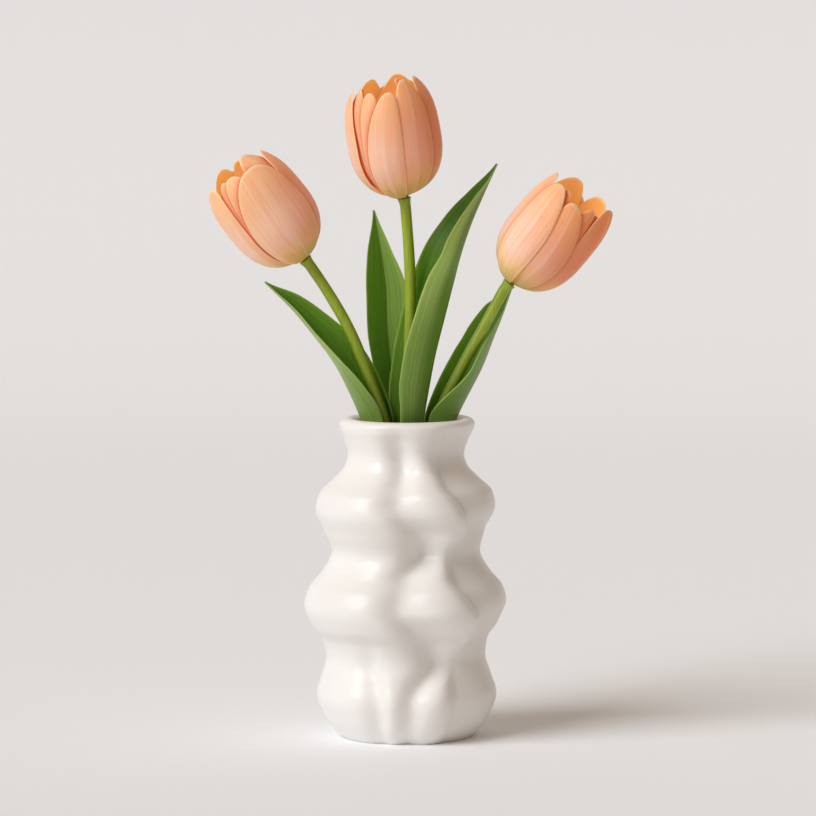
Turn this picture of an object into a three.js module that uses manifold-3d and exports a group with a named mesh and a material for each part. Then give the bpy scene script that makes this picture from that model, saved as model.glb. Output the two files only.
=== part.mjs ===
// Three tulips in a wavy white vase.
// Millimetres, +Z up, origin at the middle of the vase's flat foot.
// The front is towards -Y, and +X is to the right of someone who looks at the front.
// A bearing is an angle round the upright: 0 is the front, 90 is +X, and -90 is -X.

import * as THREE from 'three';
import { mergeVertices } from 'three/addons/utils/BufferGeometryUtils.js';
import Module from 'manifold-3d';

const wasm = await Module();
wasm.setup();

// Vase: outer radius over its lobes at each height
const VASE_HEIGHT = 177;
const VASE_OUTLINE = [
  [0, 36.3], [1.5, 38], [4.4, 41], [12, 46.4], [24.3, 50.6], [34.4, 47.8], [44.5, 45.2], [54.6, 47.9],
  [62.7, 54], [73.8, 57.9], [82.9, 55.2], [92, 47.6], [103.2, 42.1], [114.3, 46.6], [127, 51.5],
  [135.5, 49.2], [143.6, 41], [150.7, 34.8], [156.8, 33.2], [164.9, 35.2], [171.4, 37.4],
];
const LIP_OUTER = 37.7;
const LIP_HEIGHT = 172.5;
const LIP_INSIDE_DEPTH = 12;
const OPENING_RADIUS = 28.4;
const VASE_WALL = 5;
const VASE_FLOOR = 6;
const FLOOR_CORNER = 5;

// Valleys between the vase's lobes: bearing, depth, and the reach of their left and right flanks, by height
const FRONT_VALLEY = {
  bearing: [
    [0, 1], [24, 3], [33, 9], [45, 24], [57, 16], [66, 5], [75, -4], [91, 0], [105, 15], [116, 11],
    [124, 1], [133, -6], [141, -6], [149, -4], [157, -7], [166, -10],
  ],
  depth: [
    [0, 3], [24, 5], [34, 6.5], [48, 10], [60, 11], [74, 8], [90, 8], [106, 11.5], [116, 11],
    [127, 7.5], [146, 7], [157, 6.5], [166, 4.5], [172, 1.5], [177, 0],
  ],
  left: [[0, 9], [24, 9], [50, 17], [74, 12], [106, 17], [127, 13], [157, 12]],
  right: [[0, 9], [24, 10], [50, 13], [74, 20], [90, 16], [106, 14], [127, 20], [141, 13], [157, 11]],
};
const RIGHT_VALLEY = {
  bearing: [
    [0, 36], [24, 38], [41, 42], [57, 59], [68, 57], [80, 47], [91, 40], [104, 46], [116, 57],
    [123, 53], [133, 45], [141, 38], [157, 42], [168, 42],
  ],
  depth: [
    [0, 2.5], [24, 6], [48, 6], [68, 9], [90, 8.5], [104, 6], [120, 9.5], [141, 9], [157, 8], [166, 6],
    [172, 2], [177, 0],
  ],
  left: [[0, 8], [24, 9], [50, 14], [68, 9], [91, 9], [104, 12], [120, 9], [141, 9], [157, 15]],
  right: [[0, 40], [177, 40]],
};
const BACK_RIGHT_VALLEY = {
  bearing: [[0, 126], [44, 122], [74, 130], [103, 122], [127, 130], [157, 124]],
  depth: [[0, 2.4], [24, 5], [74, 6], [103, 5], [127, 6], [157, 4], [168, 2], [177, 0]],
  left: [[0, 18], [177, 18]],
  right: [[0, 12], [177, 12]],
};
const BACK_VALLEY = {
  bearing: [[0, 184], [44, 188], [74, 180], [103, 188], [127, 180], [157, 186]],
  depth: [[0, 2.4], [24, 5], [74, 6], [103, 5], [127, 6], [157, 4], [168, 2], [177, 0]],
  left: [[0, 14], [177, 14]],
  right: [[0, 14], [177, 14]],
};
const BACK_LEFT_VALLEY = {
  bearing: [[0, 244], [44, 240], [74, 248], [103, 240], [127, 248], [157, 242]],
  depth: [[0, 2.4], [24, 5], [74, 6], [103, 5], [127, 6], [157, 4], [168, 2], [177, 0]],
  left: [[0, 12], [177, 12]],
  right: [[0, 18], [177, 18]],
};
const LEFT_DIP = {
  bearing: [[0, -22], [16, -20], [24, -20], [33, -22], [45, -27]],
  depth: [[0, 2.2], [16, 3.4], [33, 3], [45, 2.2], [56, 1], [66, 0]],
  left: [[0, 9], [45, 9]],
  right: [[0, 7], [45, 7]],
};
const VALLEYS = [FRONT_VALLEY, RIGHT_VALLEY, BACK_RIGHT_VALLEY, BACK_VALLEY, BACK_LEFT_VALLEY, LEFT_DIP];

// Water, and the gap that parts have where they would touch
const WATER_LEVEL = 92;
const WATER_SIDE_GAP = 0.5;
const SEAT_GAP = 0.3;

// Stems
const STEM_RADIUS = 3.3;
const STEM_TOP_RADIUS = 2.95;
const NECK_LENGTH = 5;
const SHOULDER_RADIUS = 3.8;
const SHOULDER_DROP = 0.8;
const KNOB_RADIUS = 2.6;
const KNOB_TOP = 6;

// Leaves
const LEAF_THICKNESS = 0.9;

// Blooms: the cup that the petals lie on, and the petals
const CUP_WIDEST = 31;
const CUP_HEIGHT = 70;
const CUP_ROUNDNESS = 2.25;
const CUP_CLOSING_POWER = 3.1;
const PETAL_THICKNESS = 0.8;
const LAYER_STEP = 1.25;
const PETAL_WIDEST = 0.5;
const PETAL_TIP_POWER = 0.38;
const PETAL_TIP_CUT = 0.985;
const PETAL_LEAN_FROM = 0.4;

// How finely the solids are divided
const VASE_FRONT_SIDES = 20;
const VASE_FRONT_START = -54;
const VASE_FRONT_END = 66;
const VASE_BACK_SIDES = 21;
const OUTSIDE_HEIGHTS = [
  0, 1.5, 4.4, 10, 17, 24, 31, 38, 45, 52, 58.5, 64.5, 69.5, 74.5, 80.5, 87, 93, 99, 105, 112, 119, 126.5,
  132.5, 138.5, 144.5, 151, 157, 165, LIP_HEIGHT,
];
const INSIDE_HEIGHTS = [
  165, 153, 143.5, 134.5, 126.5, 114, 103, WATER_LEVEL, 83, 74, 59, 44.5, 30, 16, 9, VASE_FLOOR,
];
const WATER_HEIGHTS = [VASE_FLOOR, 9, 16, 30, 44.5, 59, 74, 83, WATER_LEVEL];
const LIP_ROWS = 5;
const STEM_SIDES = 10;
const STEM_ROWS = 18;
const LEAF_CELLS = 3;
const LEAF_LEAST_ROWS = 12;
const LEAF_ROWS_A_STATION = 1.5;
const CUP_POINTS = 240;
const CUP_DIVISIONS = 2000;
const PETAL_ROW_LENGTHS = [12, 22, 32, 42, 52, 60, 67, 74, 81];
const PETAL_TIP_ROW = 1.6;
const PETAL_CELL_ANGLE = 14;
const PETAL_LEAST_CELLS = 3;
const PISTIL_SIDES = 9;

const COLOURS = {
  vase: { color: 0xf3f0ec, roughness: 0.25, metalness: 0 },
  water: { color: 0xdfe9ea, roughness: 0.05, metalness: 0 },
  stem: { color: 0x7f9338, roughness: 0.5, metalness: 0 },
  leaf: { color: 0x5f8245, roughness: 0.5, metalness: 0 },
  petal: { color: 0xf0b189, roughness: 0.6, metalness: 0 },
  pistil: { color: 0xc9cf7a, roughness: 0.6, metalness: 0 },
  stamen: { color: 0xe8c85a, roughness: 0.7, metalness: 0 },
};

// Stems: the route from the cut end to below the bloom, and the joint with the bloom.
// Blooms: how far the axis leans to the right and nods to the front, and the cup's radius and closing.
const TULIPS = {
  left: {
    route: [
      [-10, -6, 6.5], [-9.4, -8, 60], [-8.4, -10.4, 122], [-8.9, -11.2, 151], [-12.6, -11.5, 176],
      [-20, -12.2, 197], [-31.2, -14, 225.3], [-44, -15.4, 248],
    ],
    joint: [-56.5, -16, 265.8],
    lean: -38.8,
    nod: 8,
    radius: 25.5,
    closing: 0.5,
  },
  middle: {
    route: [
      [0, 0, 6.5], [0.2, -2.4, 60], [-0.1, -6, 122], [-0.5, -8.6, 151], [-0.6, -10, 176],
      [0.9, -11, 213], [1.7, -11.4, 244], [0.7, -11.6, 271],
    ],
    joint: [-2, -12, 299.4],
    lean: -9.6,
    nod: 8,
    radius: 26.5,
    closing: 0.5,
  },
  right: {
    route: [
      [11, -3, 6.5], [10.6, -5.4, 60], [10.6, -7.6, 122], [12, -8.3, 151], [15.7, -8.6, 176],
      [27.4, -10.2, 201], [40.4, -11.2, 225],
    ],
    joint: [56.4, -12, 252.5],
    lean: 39.8,
    nod: 8,
    radius: 24.8,
    closing: 0.3,
  },
};

// Leaves, at stations from the base to the tip.
// place is the midrib, opens is the bearing that the channel faces, fold and curl are the angle of
// each half at the midrib and how much it turns per millimetre, and halves are the two half widths.
const LEAVES = {
  left_leaf: [
    { place: [-12.45, -8.35, 122], opens: 63, fold: 8, curl: 13, halves: [5, 5] },
    { place: [-15.5, -8.3, 151], opens: 63, fold: 22, curl: 6.5, halves: [9.5, 9.5] },
    { place: [-25, -5, 176], opens: 63, fold: 42, curl: 3.6, halves: [19, 17] },
    { place: [-33, -4, 194], opens: 58, fold: 39, curl: 2.3, halves: [18.6, 19] },
    { place: [-40.7, -3.5, 208.3], opens: 53, fold: 41, curl: 1.5, halves: [17.6, 18.4] },
    { place: [-53.8, -3.5, 225.6], opens: 53, fold: 46, curl: 1.2, halves: [13.5, 14.6] },
    { place: [-64.3, -4, 238.2], opens: 53, fold: 52, curl: 0.8, halves: [8.8, 9.5] },
    { place: [-78.4, -5, 252.1], opens: 53, fold: 54, curl: 0, halves: [0.6, 0.6] },
  ],
  right_leaf: [
    { place: [14.3, -5.7, 122], opens: -63, fold: 8, curl: 13, halves: [5, 5] },
    { place: [18, -6, 151], opens: -63, fold: 22, curl: 6.5, halves: [11, 9.5] },
    { place: [26.4, -2.5, 176], opens: -63, fold: 42, curl: 3.4, halves: [20, 18] },
    { place: [41, -2.5, 205.5], opens: -63, fold: 34, curl: 1.2, halves: [18, 18.4] },
    { place: [47.1, 0, 221], opens: -63, fold: 31, curl: 1, halves: [12, 16.5] },
    { place: [52.4, 2.5, 234.3], opens: -63, fold: 30, curl: 1, halves: [8, 12] },
    { place: [57.3, 3.5, 248.1], opens: -63, fold: 40, curl: 0, halves: [0.6, 0.6] },
  ],
  front_leaf: [
    { place: [4.45, -5.75, 118], opens: -90, fold: 8, curl: 13, halves: [5, 5] },
    { place: [5.6, -9, 151], opens: -90, fold: 12, curl: 6.8, halves: [13, 13] },
    { place: [8.4, -13.5, 176], opens: -90, fold: 25, curl: 3.8, halves: [15.8, 22] },
    { place: [11.8, -14, 197], opens: -90, fold: 25, curl: 3, halves: [20.6, 26] },
    { place: [14.8, -14.5, 212.7], opens: -88, fold: 30, curl: 2.4, halves: [21.5, 26.5] },
    { place: [20.2, -14, 234.3], opens: -85, fold: 38, curl: 1.8, halves: [20.5, 26] },
    { place: [24.9, -13, 252.6], opens: -78, fold: 42, curl: 1.2, halves: [20.5, 24] },
    { place: [29, -12.5, 268.1], opens: -70, fold: 44, curl: 0.4, halves: [20.5, 21] },
    { place: [34.4, -12, 284.2], opens: -71, fold: 46, curl: 0.2, halves: [15.5, 15.2] },
    { place: [39.7, -12, 296.9], opens: -68, fold: 46, curl: 0.2, halves: [11, 9] },
    { place: [49, -12, 317.2], opens: -50, fold: 45, curl: 0, halves: [0.6, 0.6] },
  ],
  back_leaf: [
    { place: [-1.2, 0, 98], opens: 15, fold: 8, curl: 13, halves: [5, 5] },
    { place: [-2, 2.5, 118], opens: 15, fold: 15, curl: 5, halves: [7, 7] },
    { place: [-3.5, 8.5, 151], opens: 15, fold: 22, curl: 2, halves: [9, 9] },
    { place: [-5.5, 12.5, 176], opens: 15, fold: 25, curl: 1, halves: [10.5, 10.5] },
    { place: [-9.5, 14, 206], opens: 15, fold: 25, curl: 0.6, halves: [12, 13] },
    { place: [-11.4, 14, 226], opens: 15, fold: 24, curl: 0.5, halves: [13, 15] },
    { place: [-12.2, 12.5, 248], opens: 12, fold: 24, curl: 0.5, halves: [11.8, 13.7] },
    { place: [-14.8, 10, 269], opens: 10, fold: 24, curl: 0.4, halves: [6, 8.8] },
    { place: [-18.6, 8, 290.8], opens: 10, fold: 24, curl: 0, halves: [0.6, 0.6] },
  ],
};

// Petals: bearing of the middle round the bloom, half angle, height of the tip on the cup, how far
// the tip leans to the right, and the layers of the left and right edges, counted inwards.
const PETALS = {
  left: {
    outer: [
      [13.7, 45.3, 59.6, 9, 0, 0], [-77, 39, 63, 14, 1, 1], [192, 40, 61, 0, 1, 1], [-2, 28, 62.8, -8, 1, 1],
      [97, 41, 62, -10, 1, 0], [-148, 36, 66.5, -6, 2, 2],
    ],
    inner: [
      [-22, 21, 63.2, -7, 2, 2], [45, 40, 68.2, 0, 2, 2], [162, 32, 66, 0, 3, 3], [-105, 26, 60, 0, 3, 3],
    ],
    innermost: [[-50, 24, 58, 0, 3, 3]],
  },
  middle: {
    outer: [
      [-14, 22, 61.5, 17, 0, 0], [-92, 36, 63.5, 6, 1, 1], [178, 34, 60, 0, 1, 1],
      [26.5, 28, 66.8, 12, 1, 1], [-24, 19, 62.8, -5, 1, 1], [-150, 30, 66.5, 0, 2, 2],
      [128, 30, 63, 0, 2, 2],
    ],
    inner: [[84, 34, 66, -2, 2, 0], [-34, 17, 65.5, -26, 2, 2], [170, 44, 69.3, -32, 3, 3]],
    innermost: [[50, 22, 69.5, -14, 3, 3], [-64, 28, 66, 0, 3, 3]],
  },
  right: {
    outer: [
      [-29, 27.5, 61.4, -10, 0, 0], [190, 40, 60, 0, 0, 0], [15, 27, 58.8, -17, 1, 1],
      [-24, 19, 62.3, -2, 2, 2], [-96, 42, 63.8, 15, 1, 1], [146, 34, 66.6, 0, 1, 1],
      [77.5, 40, 67, -12, 2, 0],
    ],
    inner: [
      [15, 18, 62.2, 12, 2, 2], [-156, 38, 67.2, 0, 2, 2], [-60, 25, 59, 0, 3, 3], [50, 26, 61, -8, 3, 3],
    ],
    innermost: [],
  },
};

// Pistil: heights and radii. Stamens: heights, reach from the axis, and radii.
const PISTIL_ROWS = [
  [0, 2.1], [1.5, 2.7], [9, 3], [15, 2.5], [16.5, 2.2], [17.5, 4.2], [19.5, 4.6], [20.5, 2.4],
];
const PISTIL_LOBES = 0.16;
const STAMEN_COUNT = 6;
const STAMEN_RING = { inner: KNOB_RADIUS + SEAT_GAP, outer: 4.3, low: 4.75, high: 5.9 };
const STAMEN_ROWS = [[5, 3.7, 0.6], [12, 5.6, 0.55], [13, 5.9, 1.3], [23, 8, 1.3], [24.5, 8.3, 0.5]];

const UP = new THREE.Vector3(0, 0, 1);
const TOWARDS_VIEWER = new THREE.Vector3(0, -1, 0);
const DEGREE = Math.PI / 180;
const vector = ([x, y, z]) => new THREE.Vector3(x, y, z);
const clamp = THREE.MathUtils.clamp;

function alongBearing(bearing) {
  return new THREE.Vector3(Math.sin(bearing * DEGREE), -Math.cos(bearing * DEGREE), 0);
}

// Numbers evenly spread from one end up to the other, without the other end
function spread(from, to, count) {
  return Array.from({ length: count }, (_, i) => from + ((to - from) * i) / count);
}

// A smooth curve through [place, value] pairs that never swings past them
function smoothThrough(pairs) {
  const count = pairs.length;
  const rise = pairs.slice(1).map(([x, y], i) => (y - pairs[i][1]) / (x - pairs[i][0]));
  const slope = pairs.map((pair, i) => {
    if (i === 0 || i === count - 1) return rise[clamp(i, 0, count - 2)] * 0.5;
    const before = rise[i - 1];
    const after = rise[i];
    return before * after <= 0 ? 0 : (2 * before * after) / (before + after);
  });
  return (x) => {
    if (x <= pairs[0][0]) return pairs[0][1];
    if (x >= pairs[count - 1][0]) return pairs[count - 1][1];
    const next = pairs.findIndex((pair) => pair[0] > x);
    const [x0, y0] = pairs[next - 1];
    const [x1, y1] = pairs[next];
    const width = x1 - x0;
    const t = (x - x0) / width;
    const s = 1 - t;
    return (
      y0 * (1 + 2 * t) * s * s + slope[next - 1] * width * t * s * s +
      y1 * t * t * (3 - 2 * t) - slope[next] * width * t * t * s
    );
  };
}

function geometryFrom(points, triangles) {
  const geometry = new THREE.BufferGeometry();
  const numbers = points.flatMap((p) => [p.x, p.y, p.z]);
  geometry.setAttribute('position', new THREE.Float32BufferAttribute(numbers, 3));
  geometry.setIndex(triangles.flat());
  return geometry;
}

// A closed solid through rings of points, each ring turning left as seen from the last one.
// Its four-sided faces are split along one diagonal, or along the other one if crossed.
function loft(rings, crossed = false) {
  const sides = rings[0].length;
  const points = rings.flat();
  const triangles = [];
  for (let row = 0; row < rings.length - 1; row += 1) {
    for (let side = 0; side < sides; side += 1) {
      const next = (side + 1) % sides;
      const [a, b] = [row * sides + side, row * sides + next];
      const [c, d] = [b + sides, a + sides];
      if (crossed) triangles.push([a, b, d], [b, c, d]);
      else triangles.push([a, b, c], [a, c, d]);
    }
  }
  const middle = (ring) => ring.reduce((sum, p) => sum.add(p), new THREE.Vector3()).divideScalar(sides);
  const last = (rings.length - 1) * sides;
  const bottom = points.push(middle(rings[0])) - 1;
  const top = points.push(middle(rings[rings.length - 1])) - 1;
  for (let side = 0; side < sides; side += 1) {
    const next = (side + 1) % sides;
    triangles.push([bottom, next, side], [top, last + side, last + next]);
  }
  return geometryFrom(points, triangles);
}

// A closed blade between two grids of points, front[row][column] and back[row][column]
function blade(front, back) {
  const rows = front.length;
  const columns = front[0].length;
  const points = [...front.flat(), ...back.flat()];
  const at = (row, column) => row * columns + column;
  const behind = rows * columns;
  const triangles = [];
  for (let row = 0; row < rows - 1; row += 1) {
    for (let column = 0; column < columns - 1; column += 1) {
      const [a, b] = [at(row, column), at(row, column + 1)];
      const [c, d] = [at(row + 1, column + 1), at(row + 1, column)];
      triangles.push([a, b, c], [a, c, d]);
      triangles.push([behind + a, behind + c, behind + b], [behind + a, behind + d, behind + c]);
    }
  }
  const wall = (a, b) => triangles.push([b, a, behind + a], [b, behind + a, behind + b]);
  for (let column = 0; column < columns - 1; column += 1) {
    wall(at(0, column), at(0, column + 1));
    wall(at(rows - 1, column + 1), at(rows - 1, column));
  }
  for (let row = 0; row < rows - 1; row += 1) {
    wall(at(row, columns - 1), at(row + 1, columns - 1));
    wall(at(row + 1, 0), at(row, 0));
  }
  return geometryFrom(points, triangles);
}

function circle(centre, direction, radius, sides) {
  const side = new THREE.Vector3().crossVectors(TOWARDS_VIEWER, direction).normalize();
  const other = new THREE.Vector3().crossVectors(direction, side);
  return Array.from({ length: sides }, (_, i) => {
    const angle = (2 * Math.PI * i) / sides;
    return centre.clone()
      .addScaledVector(side, radius * Math.cos(angle))
      .addScaledVector(other, radius * Math.sin(angle));
  });
}

function solidFrom(geometry) {
  const shape = geometry.clone();
  shape.deleteAttribute('normal');
  shape.deleteAttribute('uv');
  const merged = mergeVertices(shape, 1e-4);
  const vertProperties = new Float32Array(merged.attributes.position.array);
  const triVerts = new Uint32Array(merged.index.array);
  return new wasm.Manifold(new wasm.Mesh({ numProp: 3, vertProperties, triVerts }));
}

function geometryOf(solid) {
  const { vertProperties, triVerts } = solid.getMesh();
  const geometry = new THREE.BufferGeometry();
  geometry.setAttribute('position', new THREE.BufferAttribute(vertProperties, 3));
  geometry.setIndex(new THREE.BufferAttribute(triVerts, 1));
  return geometry;
}

// Vase. Its columns are closer together over the front valleys than round the back
const VASE_BEARINGS = [
  ...spread(VASE_FRONT_START, VASE_FRONT_END, VASE_FRONT_SIDES),
  ...spread(VASE_FRONT_END, VASE_FRONT_START + 360, VASE_BACK_SIDES),
];
const outlineRadius = smoothThrough(VASE_OUTLINE);
const valleys = VALLEYS.map(({ bearing, depth, left, right }) => ({
  bearing: smoothThrough(bearing),
  depth: smoothThrough(depth),
  left: smoothThrough(left),
  right: smoothThrough(right),
}));

// How far the wall lies in from its lobes, at a bearing and a height
function relief(bearing, height) {
  return valleys.reduce((inward, valley) => {
    const off = THREE.MathUtils.euclideanModulo(bearing - valley.bearing(height) + 180, 360) - 180;
    const reach = off < 0 ? valley.left(height) : valley.right(height);
    return inward + valley.depth(height) * Math.exp(-((off / reach) ** 2));
  }, 0);
}

function vaseRing(radiusAt, height) {
  const pointAt = (bearing) => alongBearing(bearing).multiplyScalar(radiusAt(bearing)).setZ(height);
  return VASE_BEARINGS.map(pointAt);
}

function outsideRing(height) {
  return vaseRing((bearing) => outlineRadius(height) - relief(bearing, height), height);
}

// The inside follows the outside, narrows to the opening below the lip, and rounds into the floor
function insideRadius(bearing, height, clearance = 0) {
  const wall = outlineRadius(height) - VASE_WALL;
  const open = height > LIP_HEIGHT - LIP_INSIDE_DEPTH ? Math.min(wall, OPENING_RADIUS) : wall;
  const above = clamp((height - VASE_FLOOR) / FLOOR_CORNER, 0, 1);
  const corner = FLOOR_CORNER * (1 - Math.sqrt(1 - (1 - above) ** 2));
  return open - corner - relief(bearing, height) - clearance;
}

function insideRing(height) {
  return vaseRing((bearing) => insideRadius(bearing, height), height);
}

function lipRings() {
  const middle = (LIP_OUTER + OPENING_RADIUS) / 2;
  const half = (LIP_OUTER - OPENING_RADIUS) / 2;
  const rise = VASE_HEIGHT - LIP_HEIGHT;
  return Array.from({ length: LIP_ROWS }, (_, i) => {
    const angle = (Math.PI * (i + 1)) / (LIP_ROWS + 1);
    const height = LIP_HEIGHT + rise * Math.sin(angle);
    const outwards = Math.max(Math.cos(angle), 0);
    const radiusAt = (bearing) => middle + half * Math.cos(angle) - outwards * relief(bearing, height);
    return vaseRing(radiusAt, height);
  });
}

function vaseGeometry() {
  return loft([...OUTSIDE_HEIGHTS.map(outsideRing), ...lipRings(), ...INSIDE_HEIGHTS.map(insideRing)]);
}

// Stems
function bloomFrame({ joint, lean, nod }) {
  const tilt = new THREE.Vector3(Math.tan(lean * DEGREE), -Math.tan(nod * DEGREE), 1);
  const axis = tilt.normalize();
  const front = TOWARDS_VIEWER.clone().addScaledVector(axis, -TOWARDS_VIEWER.dot(axis)).normalize();
  const right = new THREE.Vector3().crossVectors(axis, front);
  const joined = vector(joint);
  const place = (bearing, radius, height) => joined.clone()
    .addScaledVector(front, radius * Math.cos(bearing * DEGREE))
    .addScaledVector(right, radius * Math.sin(bearing * DEGREE))
    .addScaledVector(axis, height);
  return { axis, joined, place };
}

// Rings along the stem, as much larger than the stem as the clearance
function stemRings(stem, clearance = 0) {
  const { axis, joined } = bloomFrame(stem);
  const end = joined.clone().addScaledVector(axis, -SHOULDER_DROP - NECK_LENGTH);
  const curve = new THREE.CatmullRomCurve3([...stem.route.map(vector), end]);
  return Array.from({ length: STEM_ROWS + 1 }, (_, i) => {
    const part = i / STEM_ROWS;
    const direction = i === 0 ? UP : curve.getTangentAt(part);
    const radius = THREE.MathUtils.lerp(STEM_RADIUS, STEM_TOP_RADIUS, part) + clearance;
    return circle(curve.getPointAt(part), direction, radius, STEM_SIDES);
  });
}

// The stem widens under the petals, and a knob in the middle of them carries their claws
function stemGeometry(stem) {
  const { axis, joined } = bloomFrame(stem);
  const ringAt = (height, radius) => {
    const middle = joined.clone().addScaledVector(axis, height);
    return circle(middle, axis, radius, STEM_SIDES);
  };
  return loft([
    ...stemRings(stem),
    ringAt(-SHOULDER_DROP, SHOULDER_RADIUS),
    ringAt(-SHOULDER_DROP, KNOB_RADIUS),
    ringAt(KNOB_TOP, KNOB_RADIUS),
  ]);
}

// Water, with a plain hole for each stem
function waterRing(height) {
  const radiusAt = (bearing) => insideRadius(bearing, height, WATER_SIDE_GAP);
  return vaseRing(radiusAt, Math.max(height, VASE_FLOOR + SEAT_GAP));
}

function waterGeometry() {
  const filled = solidFrom(loft(WATER_HEIGHTS.map(waterRing), true));
  const drilled = Object.values(TULIPS).reduce((water, stem) => {
    const rings = stemRings(stem, SEAT_GAP);
    const below = rings[0].map((p) => p.clone().setZ(0));
    return water.subtract(solidFrom(loft([below, ...rings])));
  }, filled);
  return geometryOf(drilled);
}

// Leaves
function leafGeometry(stations) {
  const curve = new THREE.CatmullRomCurve3(stations.map(({ place }) => vector(place)));
  const last = stations.length - 1;
  const value = (read) => smoothThrough(stations.map((station, i) => [i, read(station)]));
  const opens = value((station) => station.opens);
  const fold = value((station) => station.fold);
  const curl = value((station) => station.curl);
  const halves = [value((station) => station.halves[0]), value((station) => station.halves[1])];
  const rows = Math.max(LEAF_LEAST_ROWS, Math.round(LEAF_ROWS_A_STATION * last));
  const front = [];
  const back = [];
  for (let row = 0; row <= rows; row += 1) {
    const along = (row / rows) * last;
    const rib = curve.getPoint(row / rows);
    const tangent = curve.getTangent(row / rows);
    const open = alongBearing(opens(along));
    open.addScaledVector(tangent, -open.dot(tangent)).normalize();
    const side = new THREE.Vector3().crossVectors(tangent, open);
    const section = [{ point: rib, normal: open }];
    for (const [index, hand] of [[0, 1], [1, -1]]) {
      const step = halves[index](along) / LEAF_CELLS;
      let point = rib;
      for (let cell = 0; cell < LEAF_CELLS; cell += 1) {
        const angle = (fold(along) + curl(along) * step * (cell + 0.5)) * DEGREE;
        point = point.clone().addScaledVector(side, hand * step * Math.cos(angle));
        point.addScaledVector(open, step * Math.sin(angle));
        const edge = (fold(along) + curl(along) * step * (cell + 1)) * DEGREE;
        const normal = open.clone().multiplyScalar(Math.cos(edge));
        normal.addScaledVector(side, -hand * Math.sin(edge));
        section[hand > 0 ? 'push' : 'unshift']({ point, normal });
      }
    }
    const face = (offset) => section.map(
      ({ point, normal }) => point.clone().addScaledVector(normal, offset),
    );
    front.push(face(LEAF_THICKNESS / 2));
    back.push(face(-LEAF_THICKNESS / 2));
  }
  return blade(front, back);
}

// The cup's outline from its middle to its brim, by the distance along it
const CLAW_START = KNOB_RADIUS + SEAT_GAP + 0.1;
const CLAW_REACH = CLAW_START + 0.2;

function cupOutline({ radius, closing }) {
  const points = Array.from({ length: CUP_POINTS + 1 }, (_, i) => {
    const height = (CUP_HEIGHT * i) / CUP_POINTS;
    const low = Math.max(0, 1 - height / CUP_WIDEST);
    const high = Math.max(0, (height - CUP_WIDEST) / (CUP_HEIGHT - CUP_WIDEST));
    const bowl = (1 - low ** CUP_ROUNDNESS) ** (1 / CUP_ROUNDNESS);
    return new THREE.Vector3(radius * bowl * (1 - closing * high ** CUP_CLOSING_POWER), height, 0);
  });
  const curve = new THREE.CatmullRomCurve3(points);
  curve.arcLengthDivisions = CUP_DIVISIONS;
  const full = curve.getLength();
  const lengthAt = (measure, target) => {
    let [low, high] = [0, 1];
    while (high - low > 1e-9) {
      const middle = (low + high) / 2;
      if (measure(curve.getPointAt(middle)) < target) low = middle;
      else high = middle;
    }
    return low * full;
  };
  const point = (length) => curve.getPointAt(length / full);
  const tangent = (length) => curve.getTangentAt(length / full);
  return { lengthAt, point, tangent };
}

// A petal follows the cup, narrows to its tip, and lies as deep as its layers say
function petalGeometry(tulip, [bearing, halfAngle, tipHeight, lean, leftLayer, rightLayer]) {
  const { place } = bloomFrame(tulip);
  const cup = cupOutline(tulip);
  const start = cup.lengthAt((p) => p.x + p.y, CLAW_REACH);
  const end = cup.lengthAt((p) => p.y, tipHeight);
  const common = PETAL_ROW_LENGTHS.filter((length) => length < end - 2 * PETAL_TIP_ROW);
  const cells = Math.max(PETAL_LEAST_CELLS, Math.round((2 * halfAngle) / PETAL_CELL_ANGLE));
  const outside = [];
  const inside = [];
  for (const length of [start, ...common, end - PETAL_TIP_ROW, end]) {
    const along = cup.point(length);
    const tangent = cup.tangent(length);
    const upwards = (length - start) / (end - start);
    const taper = clamp((upwards - PETAL_WIDEST) / (1 - PETAL_WIDEST), 0, PETAL_TIP_CUT);
    const spread = (1 - taper * taper) ** PETAL_TIP_POWER;
    const leaning = lean * Math.max(0, (upwards - PETAL_LEAN_FROM) / (1 - PETAL_LEAN_FROM)) ** 2;
    const face = (offset) => Array.from({ length: cells + 1 }, (_, column) => {
      const across = spread * ((2 * column) / cells - 1);
      const layer = THREE.MathUtils.lerp(leftLayer, rightLayer, (across + 1) / 2);
      const outward = offset - LAYER_STEP * layer;
      const radius = length === start ? CLAW_START : along.x + outward * tangent.y;
      return place(bearing + halfAngle * across + leaning, radius, along.y - outward * tangent.x);
    });
    outside.push(face(PETAL_THICKNESS / 2));
    inside.push(face(-PETAL_THICKNESS / 2));
  }
  return blade(outside, inside);
}

// The pistil: a rounded three-sided ovary with three swept lobes on top
function pistilGeometry(stem) {
  const { place } = bloomFrame(stem);
  const ringAt = ([height, radius]) => Array.from({ length: PISTIL_SIDES }, (_, i) => {
    const bearing = (360 * i) / PISTIL_SIDES;
    const lobed = 1 + PISTIL_LOBES * Math.cos(3 * bearing * DEGREE);
    return place(bearing, radius * lobed, KNOB_TOP + SEAT_GAP + height);
  });
  return loft(PISTIL_ROWS.map(ringAt));
}

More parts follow.
